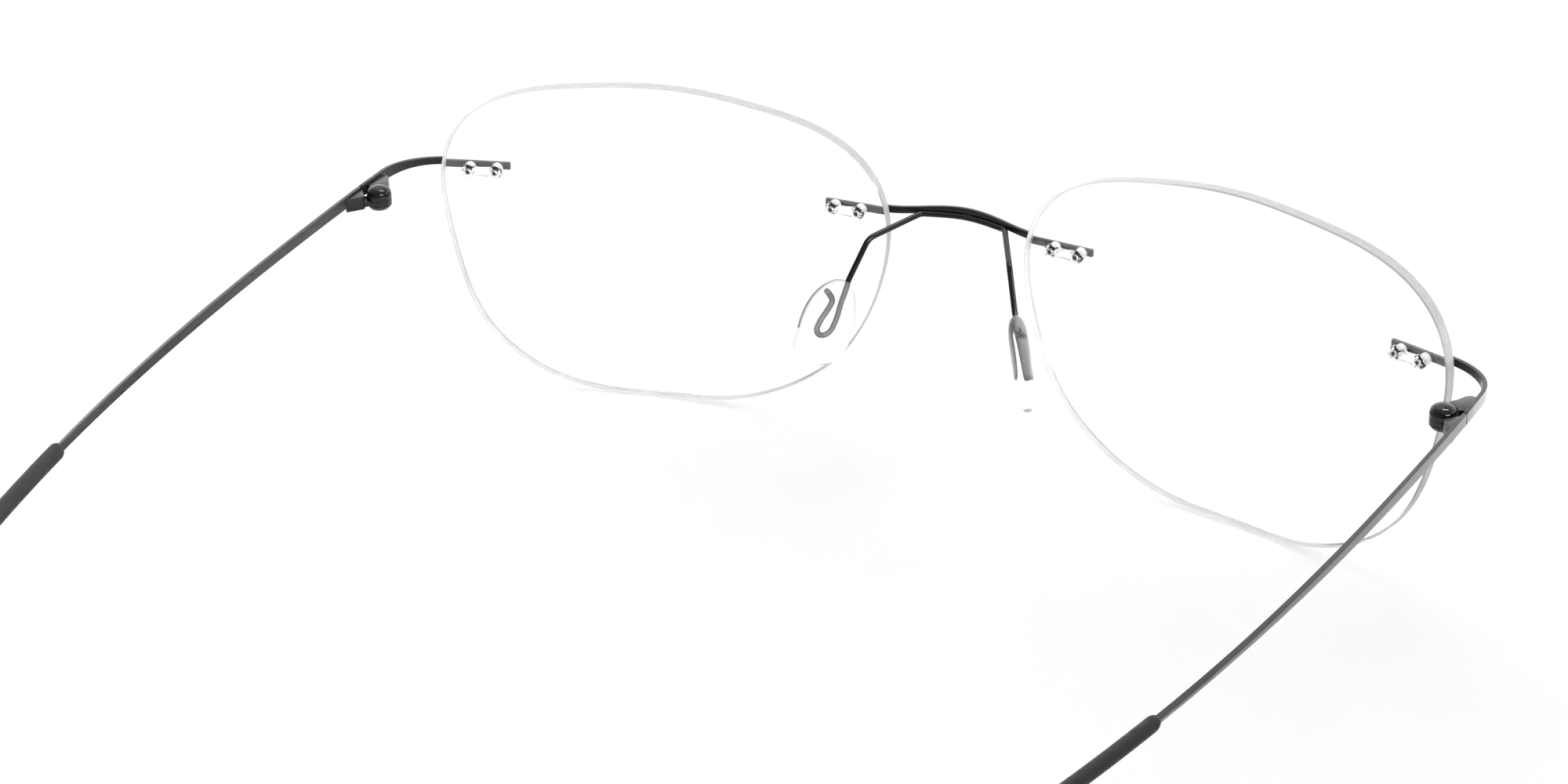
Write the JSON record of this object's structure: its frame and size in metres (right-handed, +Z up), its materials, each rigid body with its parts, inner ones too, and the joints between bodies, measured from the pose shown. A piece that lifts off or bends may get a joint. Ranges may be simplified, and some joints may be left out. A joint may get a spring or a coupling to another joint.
{
  "type": "eyeglasses",
  "caption": "Rimless eyeglasses: clear lenses pinned to slim metal end pieces and bridge, wire-held nose pads, and hinged band temples with sleeved ear ends.",
  "frame": {"origin": "middle of the footprint, on the plane the glasses stand on when open", "axes": "+Z up, the lenses' outer faces look along -Y, the temples run back along +Y, +X is the wearer's left"},
  "size_m": [0.1304, 0.1532, 0.038],
  "materials": {
    "lens": "polished",
    "frame_black": "gloss",
    "temple_metal": "satin",
    "screw_black": "polished",
    "pin_metal": "satin",
    "bush_clear": "polished",
    "pad_clear": "translucent satin",
    "sleeve": "soft matte"
  },
  "bodies": {
    "front": {"lens_left": "lens", "lens_right": "lens", "bridge": "frame_black", "bridge_pins": "pin_metal", "nose_pad_wire": "frame_black", "nose_pad_left": "pad_clear", "nose_pad_right": "pad_clear", "bush_nasal_left": "bush_clear", "bush_nasal_right": "bush_clear", "bush_temporal_left": "bush_clear", "bush_temporal_right": "bush_clear", "endpiece_left": "frame_black", "endpiece_right": "frame_black", "endpiece_pins_left": "pin_metal", "endpiece_pins_right": "pin_metal", "endpiece_hinge_left": "frame_black", "endpiece_hinge_right": "frame_black", "hinge_screw_left": "screw_black", "hinge_screw_right": "screw_black"},
    "left_temple": {"temple_left": "temple_metal", "temple_hinge_left": "temple_metal", "temple_tip_left": "sleeve"},
    "right_temple": {"temple_right": "temple_metal", "temple_hinge_right": "temple_metal", "temple_tip_right": "sleeve"}
  },
  "joints": [
    {"name": "left_temple_fold", "type": "hinge", "parent": "front", "child": "left_temple", "pos_m": [0.0626, -0.05372, 0.02565], "axis": [0, 0, 1], "range_deg": [0, 82]},
    {"name": "right_temple_fold", "type": "hinge", "parent": "front", "child": "right_temple", "pos_m": [-0.0626, -0.05372, 0.02565], "axis": [0, 0, -1], "range_deg": [0, 75]}
  ]
}
